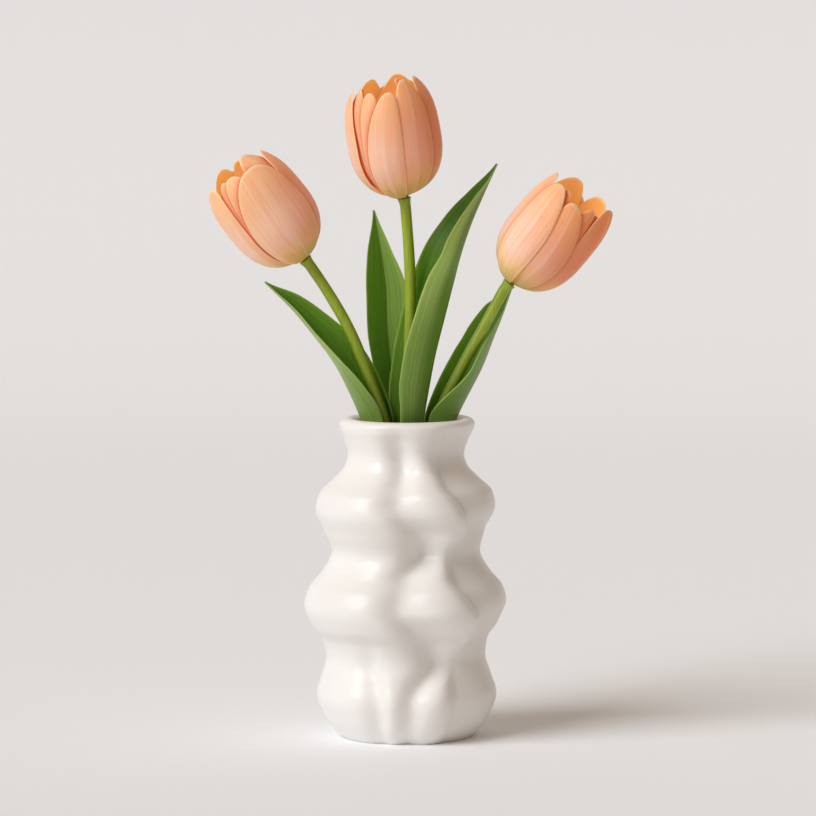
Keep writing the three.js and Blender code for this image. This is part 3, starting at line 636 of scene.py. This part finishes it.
def stem_material():
    """Yellow-green stems with fine streaks along them, and painted shade near the vase's rim."""
    look = Material("stem")
    place = look.place()
    stretched = look.node("ShaderNodeMapping")
    look.link(place, stretched.inputs["Vector"])
    stretched.inputs["Scale"].default_value = (1.0, 1.0, STREAK_STRETCH)
    streaks = look.noise(stretched.outputs[0], scale=900.0, detail=3.0)
    clouds = look.noise(place, scale=30.0, detail=2.0)
    clouded = look.math("MULTIPLY", clouds, CLOUD_SHARE)
    colour = look.mix(clouded, look.ramp(streaks, STEM_STREAKS), STEM_CLOUD)
    # Painted shade near the vase's rim
    colour = look.mix(look.low(STEM_RIM_SHADE), colour, STEM_SHADED)
    look.set(Base_Color=colour, Roughness=0.4, Subsurface_Weight=0.15, Subsurface_Scale=0.002)
    look.bump(streaks, distance=0.0002, strength=0.4)
    return look.material


def plain_material(name, low, high, scale, roughness, **inputs):
    """A mottled material between two colours."""
    look = Material(name)
    mottle = look.noise(look.place(), scale, detail=3.0)
    look.set(Base_Color=look.ramp(mottle, [(0.35, low), (0.65, high)]), Roughness=roughness, **inputs)
    look.bump(mottle, distance=0.0004, strength=0.4)
    return look.material


MATERIALS = {
    "vase": vase_material(),
    "petal": petal_material(),
    "leaf": leaf_material(),
    "stem": stem_material(),
    "pistil": plain_material("pistil", rgb(176, 190, 88), rgb(206, 208, 118), 400.0, roughness=0.5),
    "stamen": plain_material("stamen", rgb(208, 160, 60), rgb(232, 190, 90), 900.0, roughness=0.8),
    "water": plain_material("water", rgb(214, 228, 226), rgb(222, 234, 232), 20.0, roughness=0.04,
                            IOR=1.33, Transmission_Weight=0.9),
}


def keep(piece, slot, *nodes):
    """Give a piece to the root body, in place of the nodes that it stands for; its slot is not used."""
    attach(piece, "root")
    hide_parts(*nodes)


# Vase
outline_radius = smooth_through(VASE_OUTLINE)
valleys = [{part: smooth_through(pairs) for part, pairs in valley.items()} for valley in VALLEYS]


def relief(bearing, height):
    """How far the wall lies in from its lobes, in millimetres."""
    inward = np.zeros_like(bearing)
    for valley in valleys:
        off = np.mod(bearing - valley["bearing"](height) + 180, 360) - 180
        reach = np.where(off < 0, valley["left"](height), valley["right"](height))
        inward += valley["depth"](height) * np.exp(-((off / reach) ** 2))
    return inward


def vase_profile():
    """The heights of the outside's rows, the angles of the lip's, and the heights of the inside's."""
    outside = [*FOOT_ROWS[:2], *np.arange(FOOT_ROWS[2], LIP_HEIGHT, VASE_ROW), LIP_HEIGHT]
    down = np.arange(LIP_HEIGHT - BELOW_LIP, VASE_FLOOR + ABOVE_FLOOR, -VASE_INSIDE_ROW)
    inside = [*down, VASE_FLOOR]
    lip = np.linspace(0, math.pi, LIP_ROWS)[1:]
    return outside, lip, inside


def make_vase():
    """The vase's skin in one loft: up the outside, over the lip and down to the inside floor."""
    bearing = np.linspace(0, 360, VASE_COLUMNS, endpoint=False)
    outside, lip, inside = vase_profile()
    heights, radii = [], []
    for height in outside:
        heights.append(height)
        radii.append(outline_radius(height) - relief(bearing, height))
    middle, half = (LIP_OUTER + OPENING_RADIUS) / 2, (LIP_OUTER - OPENING_RADIUS) / 2
    for angle in lip:
        height = LIP_HEIGHT + (VASE_HEIGHT - LIP_HEIGHT) * math.sin(angle)
        outward = math.cos(angle)
        heights.append(height)
        radii.append(middle + half * outward - max(outward, 0) * relief(bearing, height))
    for height in inside:
        widest = OPENING_RADIUS if height > LIP_HEIGHT - LIP_INSIDE_DEPTH else math.inf
        wall = min(outline_radius(height) - VASE_WALL, widest)
        above = min(max((height - VASE_FLOOR) / FLOOR_CORNER, 0), 1)
        corner = FLOOR_CORNER * (1 - math.sqrt(1 - (1 - above) ** 2))
        heights.append(height)
        radii.append(wall - corner - relief(bearing, height))
    rings = along_bearing(bearing)[None] * np.array(radii)[:, :, None]
    rings[:, :, 2] = np.array(heights)[:, None]
    points, faces = loft(rings)
    keep(mesh_object("vase_glazed", points, faces, MATERIALS["vase"]), "vase", "vase")


# Stems and blooms
def bloom_frame(name):
    """The bloom's axis, its joint, and a function from bearing, radius and height to a point."""
    bloom, stem = BLOOMS[name], STEMS[name]
    tilt = np.array([math.tan(math.radians(bloom["lean"])), -math.tan(math.radians(bloom["nod"])), 1.0])
    axis = unit(tilt)
    front = np.array([0.0, -1.0, 0.0])
    front = unit(front - front.dot(axis) * axis)
    right = np.cross(axis, front)
    joint = np.array(stem["joint"], dtype=float)

    def place(bearing, radius, height):
        angle = np.radians(bearing)[..., None]
        radius, height = np.asarray(radius)[..., None], np.asarray(height)[..., None]
        return joint + radius * (front * np.cos(angle) + right * np.sin(angle)) + axis * height

    return axis, joint, place


# The neck: height above the shoulder, and radius
NECK_ROWS = [
    (-3.8, 3.02), (-2.6, 3.16), (-1.4, 3.42), (-0.6, 3.7), (-0.2, SHOULDER_RADIUS), (0, 3.66),
    (0, KNOB_RADIUS),
]
KNOB_CHAMFER = 0.5
STEM_WAVER = 0.015
STEM_WAVE_TURN = 40


def make_stem(name, stem):
    """A stem along its route, with the shoulder and the knob that its bloom sits on."""
    axis, joint, _ = bloom_frame(name)
    end = joint - axis * (SHOULDER_DROP + NECK_LENGTH)
    route, tangents = curve_through([*stem["route"], tuple(end)], STEM_ROWS)
    tangents[0] = (0, 0, 1)
    progress = np.linspace(0, 1, STEM_ROWS)
    radii = STEM_RADIUS + (STEM_TOP_RADIUS - STEM_RADIUS) * progress
    radii *= 1 + STEM_WAVER * np.sin(STEM_WAVE_TURN * progress)
    upper = [(height - SHOULDER_DROP, radius) for height, radius in NECK_ROWS]
    upper += [(KNOB_TOP - KNOB_CHAMFER, KNOB_RADIUS), (KNOB_TOP, KNOB_RADIUS - KNOB_CHAMFER)]
    centres = np.vstack([route, [joint + axis * height for height, _ in upper]])
    directions = np.vstack([tangents, [axis] * len(upper)])
    radii = [*radii, *(radius for _, radius in upper)]
    points, faces = loft(circles(centres, directions, radii, STEM_SIDES))
    keep(mesh_object(f"{name}_stem_fine", points, faces, MATERIALS["stem"]), "stem", f"{name}_stem")


def cup_outline(radius, closing):
    """The cup's radii and heights by the distance along it from its middle."""
    height = np.linspace(0, CUP_HEIGHT, CUP_SAMPLES)
    low = np.clip(1 - height / CUP_WIDEST, 0, None)
    high = np.clip((height - CUP_WIDEST) / (CUP_HEIGHT - CUP_WIDEST), 0, None)
    reach = (radius * (1 - low ** CUP_ROUNDNESS) ** (1 / CUP_ROUNDNESS)
             * (1 - closing * high ** CUP_CLOSING_POWER))
    length = np.concatenate([[0], np.cumsum(np.hypot(np.diff(reach), np.diff(height)))])
    return length, reach, height


# Painted light and shade on petals: paler facing the light, deeper away from it, and a painted shadow
# where one covers another
SHADE_REACH = 2.3
LIT_SIDE = unit(np.array([-0.85, -0.5, 0.3]))
# Painted shade added for each bloom: less on the left one, more on the right one
PAINTED_SHADE_BIAS = {"left": -0.26, "middle": -0.06, "right": 0.08}
PAINTED_SHADE_SPREAD = 0.6
DEEPEST_PAINTED_SHADE = 0.8

# How much further out than another, in layers, a petal is that covers it
COVERING_STEP = 0.4

# These two lie close under the petal that covers them, so the painted shadow along its edge is faint
FAINT_GAP_SHADOWS = {"middle_outer_petal_4": 0.2, "right_outer_petal_3": 0.2}

# A petal's thickness, how far its edge is tucked in, and the rib along its middle
PETAL_HALF_THICKNESS = 0.38
EDGE_THINNING = 0.6
EDGE_TUCK = 0.45
TUCK_RISE = (0.05, 0.4)
KEEL_HEIGHT = 0.3
KEEL_REACH = 0.07
KEEL_RISE = (0.1, 0.4)
KEEL_FADE = (0, 0.2)

# How far from the knob's seat a petal starts, and its first row of points; its rows crowd to the tip
CLAW_START = 0.3
CLAW_CLEARANCE = 0.1
ROW_CROWDING = 0.9

# How far each way along a cup its slope is measured
SLOPE_STEP = 0.05


def edge_shade(name, own, turned, length, radius, layer, start):
    """Painted shadow: how near each point lies to the edge of a petal that covers it, 1 under it, 0
    away from it.
    """
    lengths, _, heights = cup_outline(BLOOMS[name]["radius"], BLOOMS[name]["closing"])
    shade = np.zeros_like(length)
    for other in [petal for whorl in PETALS[name].values() for petal in whorl if petal is not own]:
        bearing, half_angle, tip_height, lean, (low, high) = other
        along = (length - start) / (np.interp(tip_height, heights, lengths) - start)
        narrowed = np.clip((along - PETAL_WIDEST) / (1 - PETAL_WIDEST), 0, 1)
        half = half_angle * (1 - narrowed ** 2) ** PETAL_TIP_POWER
        bent = np.clip((along - PETAL_LEAN_FROM) / (1 - PETAL_LEAN_FROM), 0, 1) ** 2
        off = np.mod(turned - bearing - lean * bent + 180, 360) - 180
        beside = np.radians(np.clip(np.abs(off) - half, 0, None)) * radius
        above = np.clip(along - 1, 0, None) * length
        away = np.hypot(beside, above)
        other_layer = (low + high) / 2 + (high - low) / 2 * np.clip(off / half_angle, -1, 1)
        covers = other_layer < layer - COVERING_STEP
        shade = np.maximum(shade, covers * np.exp(-away / SHADE_REACH))
    return shade


def make_petal(name, piece_name, petal):
    """A petal on its bloom's cup, with the values by which its material is coloured."""
    bearing, half_angle, tip_height, lean, layers = petal
    bloom = BLOOMS[name]
    lengths, radii, heights = cup_outline(bloom["radius"], bloom["closing"])
    _, _, place = bloom_frame(name)
    bottom = slice(0, CUP_SAMPLES // 4)
    start = np.interp(KNOB_RADIUS + SEAT_GAP + CLAW_START, radii[bottom], lengths[bottom])
    end = np.interp(tip_height, heights, lengths)
    share = np.sin(np.linspace(-math.pi / 2, math.pi / 2, PETAL_COLUMNS))
    taper = np.sqrt(1 - np.abs(share) ** (1 / PETAL_TIP_POWER))
    top = PETAL_WIDEST + (1 - PETAL_WIDEST) * taper
    rows = np.linspace(0, 1, PETAL_ROWS) ** ROW_CROWDING
    along = rows[:, None] * top[None]
    length = start + along * (end - start)
    radius = np.interp(length, lengths, radii)
    height = np.interp(length, lengths, heights)
    before, after = length - SLOPE_STEP, length + SLOPE_STEP
    slope = unit(np.stack([
        np.interp(after, lengths, radii) - np.interp(before, lengths, radii),
        np.interp(after, lengths, heights) - np.interp(before, lengths, heights),
    ], axis=-1))
    bent = np.clip((along - PETAL_LEAN_FROM) / (1 - PETAL_LEAN_FROM), 0, None) ** 2
    turned = bearing + half_angle * share[None] + lean * bent
    seed = RNG.random()
    to_edge = np.abs(share)[None] * np.ones_like(along)
    to_tip = rows[:, None] * np.ones_like(along)
    edge = np.maximum(to_edge ** 4, to_tip ** 12)
    tuck = EDGE_TUCK * edge * smoothstep(along, *TUCK_RISE)
    keel = KEEL_HEIGHT * np.exp(-((share / KEEL_REACH) ** 2))[None]
    keel = keel * smoothstep(along, *KEEL_RISE) * smoothstep(1 - along, *KEEL_FADE)
    layer = (layers[0] + layers[1]) / 2 + (layers[1] - layers[0]) / 2 * share[None]
    middle = -LAYER_STEP * layer - tuck + keel
    thin = PETAL_HALF_THICKNESS * (1 - EDGE_THINNING * edge)

    def surface(outward):
        place_radius = radius + outward * slope[..., 1]
        place_radius[0] = KNOB_RADIUS + SEAT_GAP + CLAW_CLEARANCE
        return place(turned, place_radius, height - outward * slope[..., 0])

    outer_face = surface(middle + thin)
    points, faces = blade(outer_face, surface(middle - thin))
    shade = edge_shade(name, petal, turned, length, radius, layer, start)
    shade = shade * FAINT_GAP_SHADOWS.get(piece_name, 1.0)
    # Painted light and shade by the way each point faces against the lit side
    facing = unit(np.cross(np.gradient(outer_face, axis=1), np.gradient(outer_face, axis=0)))
    painted_shade = np.clip(0.5 - PAINTED_SHADE_SPREAD * facing @ LIT_SIDE + PAINTED_SHADE_BIAS[name], 0, DEEPEST_PAINTED_SHADE)
    count = along.size
    values = {
        "along": np.tile(along.ravel(), 2),
        "across": np.tile(np.tile(share, PETAL_ROWS), 2),
        "rim": np.tile(np.maximum(to_edge ** 10, to_tip ** 30).ravel(), 2),
        "inside": np.repeat([0.0, 1.0], count),
        "seed": np.full(2 * count, seed),
        "painted_shade": np.tile(painted_shade.ravel(), 2),
        "shade": np.tile(shade.ravel(), 2),
    }
    piece = mesh_object(f"{piece_name}_fine", points, faces, MATERIALS["petal"], values)
    keep(piece, "petal", piece_name)


# The pistil, by height and radius, and the stamens: the ring's section, by radius and height, and each
# stamen by height, distance from the axis and radius
PISTIL_ROWS = [
    (0, 2.1), (1.5, 2.7), (9, 3), (15, 2.5), (16.5, 2.2), (17.5, 4.2), (19.5, 4.6), (20.5, 2.4),
]
STAMEN_COUNT = 6
STAMEN_RING = [(4.3, 4.75), (4.3, 5.9), (2.9, 5.9), (2.9, 4.75)]
STAMEN_ROWS = [(5, 3.7, 0.6), (12, 5.6, 0.55), (13, 5.9, 1.3), (23, 8, 1.3), (24.5, 8.3, 0.5)]
PISTIL_LOBES = 3
LOBE_DEPTH = 0.16
RING_SIDES = 36
PISTIL_STEPS = 40
STAMEN_STEPS = 28
STAMEN_SIDES = 10


def make_pistil(name):
    """The three-lobed pistil on the stem's knob."""
    _, _, place = bloom_frame(name)
    heights = np.linspace(0, PISTIL_ROWS[-1][0], PISTIL_STEPS)
    radii = smooth_through(PISTIL_ROWS)(heights)
    bearing = np.linspace(0, 360, RING_SIDES, endpoint=False)
    lobed = 1 + LOBE_DEPTH * np.cos(PISTIL_LOBES * np.radians(bearing))
    above = heights[:, None] + KNOB_TOP + SEAT_GAP
    points, faces = loft(place(np.tile(bearing, (PISTIL_STEPS, 1)), radii[:, None] * lobed, above))
    piece = mesh_object(f"{name}_pistil_fine", points, faces, MATERIALS["pistil"])
    keep(piece, "pistil", f"{name}_pistil")


def stamen_ring(place):
    """The ring round the knob that holds the stamens together."""
    bearing = np.linspace(0, 360, RING_SIDES, endpoint=False)
    corners = [place(bearing, np.full(RING_SIDES, radius), np.full(RING_SIDES, height))
               for radius, height in STAMEN_RING]
    faces = []
    for row in range(len(STAMEN_RING)):
        here, there = RING_SIDES * row, RING_SIDES * ((row + 1) % len(STAMEN_RING))
        for side in range(RING_SIDES):
            after = (side + 1) % RING_SIDES
            faces.append((here + side, here + after, there + after, there + side))
    return np.vstack(corners), faces


def make_stamens(name):
    """Six stamens that stand on one ring round the knob."""
    _, _, place = bloom_frame(name)
    ring_points, faces = stamen_ring(place)
    points = [ring_points]
    count = len(ring_points)
    steps = np.linspace(STAMEN_ROWS[0][0], STAMEN_ROWS[-1][0], STAMEN_STEPS)
    heights, reach, radii = (
        smooth_through([(row[0], row[i]) for row in STAMEN_ROWS])(steps) for i in range(3)
    )
    for i in range(STAMEN_COUNT):
        turn = 360 * (i + 0.5) / STAMEN_COUNT
        centres = place(np.full(STAMEN_STEPS, turn), reach, heights)
        directions = unit(np.gradient(centres, axis=0))
        stamen_points, stamen_faces = loft(circles(centres, directions, radii, STAMEN_SIDES))
        points.append(stamen_points)
        faces += [tuple(index + count for index in face) for face in stamen_faces]
        count += len(stamen_points)
    piece = mesh_object(f"{name}_stamens_fine", np.vstack(points), faces, MATERIALS["stamen"])
    keep(piece, "stamen", f"{name}_stamens")


# Leaves, and how frosted each is: the inner face's right and left halves and its upper part, and the
# outer face at the margin and the midrib. Below nought is painted shade, a deeper green.
FROST_AND_SHADE = {
    "left_leaf": {"right": 0.1, "left": 0.1, "upper": 0.0, "margin": 0.9, "midrib": 1.2},
    "right_leaf": {"right": 0.0, "left": 0.1, "upper": 0.0, "margin": 0.3, "midrib": 0.3},
    "front_leaf": {"right": 0.0, "left": 0.0, "upper": -0.5, "margin": 1.0, "midrib": 0.0},
    "back_leaf": {"right": 0.75, "left": 0.0, "upper": 0.0, "margin": 0.0, "midrib": 0.0},
}
FROST_ALONG = smooth_through([(0, 0.4), (0.42, 0.45), (0.6, 1), (0.75, 0.75), (1, 0.4)])

# A leaf's thickness, the rib behind its midrib, and the waves of its margins
LEAF_HALF_THICKNESS = 0.42
MARGIN_THINNING = 0.55
RIB_HEIGHT = 0.25
RIB_REACH = 0.06
WAVE_HEIGHT = 0.5
WAVE_TURN = 13
WAVE_SEED_TURN = 5
WAVE_HALF_TURN = 1.5
WAVE_RISE = (0.3, 0.6)
WAVE_FADE = (0, 0.15)

# Where the frost and painted shade go over to a leaf's upper part, and the frost from its midrib to its
# margin
UPPER_RISE = (0.6, 0.75)
MARGIN_RISE = (0.25, 0.65)


def make_leaf(name, stations):
    """A leaf whose halves fold and curl from its midrib, with the values that colour it."""
    last = len(stations) - 1
    ribs, tangents = curve_through([station[0] for station in stations], LEAF_ROWS)
    along = np.linspace(0, last, LEAF_ROWS)
    opens, fold, curl, plus, minus = (
        smooth_through([(i, station[k]) for i, station in enumerate(stations)])(along)
        for k in range(1, 6)
    )
    seed = RNG.random()
    face = along_bearing(opens)
    face = unit(face - (face * tangents).sum(axis=1, keepdims=True) * tangents)
    side = np.cross(tangents, face)
    columns = 2 * LEAF_HALF_COLUMNS + 1
    share = np.linspace(-1, 1, columns)
    middle = np.zeros((LEAF_ROWS, columns, 3))
    normal = np.zeros_like(middle)
    for hand, halves in ((1, plus), (-1, minus)):
        point = ribs.copy()
        step = halves / LEAF_HALF_COLUMNS
        middle[:, LEAF_HALF_COLUMNS] = point
        normal[:, LEAF_HALF_COLUMNS] = face
        for column in range(LEAF_HALF_COLUMNS):
            angle = np.radians(fold + curl * step * (column + 0.5))
            across, deeper = (step * np.cos(angle))[:, None], (step * np.sin(angle))[:, None]
            point = point + hand * side * across + face * deeper
            at = LEAF_HALF_COLUMNS + hand * (column + 1)
            middle[:, at] = point
            normal[:, at] = face * np.cos(angle)[:, None] - hand * side * np.sin(angle)[:, None]
    progress = np.linspace(0, 1, LEAF_ROWS)[:, None]
    phase = WAVE_TURN * progress + WAVE_SEED_TURN * seed + WAVE_HALF_TURN * np.sign(share)
    wave = WAVE_HEIGHT * np.sin(phase) * np.abs(share) ** 3
    wave = wave * smoothstep(progress, *WAVE_RISE) * smoothstep(1 - progress, *WAVE_FADE)
    middle += normal * wave[..., None]
    thin = LEAF_HALF_THICKNESS * (1 - MARGIN_THINNING * np.abs(share) ** 5)
    thin = np.tile(thin + RIB_HEIGHT * np.exp(-((share / RIB_REACH) ** 2)), (LEAF_ROWS, 1))
    inner = middle + normal * np.minimum(thin, LEAF_HALF_THICKNESS)[..., None]
    outer = middle - normal * thin[..., None]
    points, faces = blade(inner, outer)
    frost_and_shade = FROST_AND_SHADE[name]
    frost_inside = np.where(share > 0, frost_and_shade["right"], frost_and_shade["left"])
    frost_inside = frost_inside + frost_and_shade["upper"] * smoothstep(progress, *UPPER_RISE)
    to_margin = smoothstep(np.abs(share), *MARGIN_RISE)
    frost_outside = frost_and_shade["midrib"] + (frost_and_shade["margin"] - frost_and_shade["midrib"]) * to_margin
    frost_outside = frost_outside * FROST_ALONG(progress)
    count = LEAF_ROWS * columns
    values = {
        "along": np.tile(np.repeat(progress[:, 0], columns), 2),
        "across": np.tile(np.tile(share, LEAF_ROWS), 2),
        "inside": np.repeat([1.0, 0.0], count),
        "frost_and_shade": np.concatenate([frost_inside.ravel(), frost_outside.ravel()]),
        "seed": np.full(2 * count, seed),
    }
    keep(mesh_object(f"{name}_fine", points, faces, MATERIALS["leaf"], values), "leaf", name)


# The stage: a pale floor that sweeps up behind, soft light and the camera
FLOOR_HALF_WIDTH = 3.0
FLOOR_FRONT = -2.6
FLOOR_BACK = 1.6
SWEEP_RADIUS = 1.2
SWEEP_STEPS = 24
BACKDROP_HEIGHT = 3.0
FLOOR_COLOUR = rgb(250, 252, 255)
WALL_COLOUR = rgb(232, 233, 235)


def make_stage():
    """The floor and the backdrop in one sheet, a little darker towards the back."""
    look = Material("backdrop")
    parts = look.node("ShaderNodeSeparateXYZ")
    look.link(look.place(), parts.inputs[0])
    behind = look.math("MULTIPLY", parts.outputs["Y"], 1 / (FLOOR_BACK + SWEEP_RADIUS))
    paint = look.ramp(behind, [(0.05, FLOOR_COLOUR), (0.9, WALL_COLOUR)], "LINEAR")
    look.set(Base_Color=paint, Roughness=0.9)
    line = [(FLOOR_FRONT, 0)]
    for angle in np.linspace(0, math.pi / 2, SWEEP_STEPS):
        line.append((FLOOR_BACK + SWEEP_RADIUS * math.sin(angle), SWEEP_RADIUS * (1 - math.cos(angle))))
    line.append((FLOOR_BACK + SWEEP_RADIUS, BACKDROP_HEIGHT))
    points = [(x, y, z) for y, z in line for x in (-FLOOR_HALF_WIDTH, FLOOR_HALF_WIDTH)]
    faces = [(2 * i, 2 * i + 1, 2 * i + 3, 2 * i + 2) for i in range(len(line) - 1)]
    floor = mesh_object("floor", np.array(points) / MM, faces, look.material)


def soft_sun(name, bearing, rise, spread, strength, colour):
    """Even light from a bearing and a height angle; the spread makes its shadows soft."""
    light = bpy.data.lights.new(name, "SUN")
    light.angle = math.radians(spread)
    light.energy = strength
    light.color = colour
    lamp = bpy.data.objects.new(name, light)
    lamp.rotation_euler = (math.radians(90 - rise), 0, math.radians(bearing))
    bpy.context.scene.collection.objects.link(lamp)


# The camera, in metres, and its lens, in millimetres
CAMERA_DISTANCE = 2.6
CAMERA_HEIGHT = 0.418
CAMERA_SIDE = 0.0003
CAMERA_REACH = 50
LOOK_HEIGHT = 0.1821
LENS = 208.8
SENSOR_WIDTH = 36

# The light: a wide soft one from the front left, and an even warm fill
KEY_BEARING = -54
KEY_RISE = 36
KEY_SPREAD = 40
KEY_STRENGTH = 2.4
KEY_COLOUR = (0.94, 0.965, 1.0)
WORLD_COLOUR = (0.325, 0.255, 0.19, 1.0)
WORLD_STRENGTH = 1.0


def make_camera_and_light():
    """The photo's view and its daylight."""
    camera = bpy.data.cameras.new("camera")
    camera.lens = LENS
    camera.sensor_width = SENSOR_WIDTH
    camera.clip_end = CAMERA_REACH
    viewer = bpy.data.objects.new("camera", camera)
    viewer.location = (CAMERA_SIDE, -CAMERA_DISTANCE, CAMERA_HEIGHT)
    pitch = math.atan2(CAMERA_HEIGHT - LOOK_HEIGHT, CAMERA_DISTANCE)
    viewer.rotation_euler = (math.pi / 2 - pitch, 0, 0)
    bpy.context.scene.collection.objects.link(viewer)
    bpy.context.scene.camera = viewer
    soft_sun("key", KEY_BEARING, KEY_RISE, KEY_SPREAD, KEY_STRENGTH, KEY_COLOUR)
    world = bpy.data.worlds.new("world")
    world.use_nodes = True
    background = world.node_tree.nodes["Background"]
    background.inputs["Color"].default_value = WORLD_COLOUR
    background.inputs["Strength"].default_value = WORLD_STRENGTH
    bpy.context.scene.world = world
    bpy.context.scene.view_settings.view_transform = "Standard"


make_camera_and_light()
make_stage()
make_vase()
for name, stations in LEAVES.items():
    make_leaf(name, stations)
for name, stem in STEMS.items():
    make_stem(name, stem)
    make_pistil(name)
    make_stamens(name)
    for whorl, petals in PETALS[name].items():
        for number, petal in enumerate(petals, 1):
            make_petal(name, f"{name}_{whorl}_petal_{number}", petal)
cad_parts["water"].data.materials[0] = MATERIALS["water"]
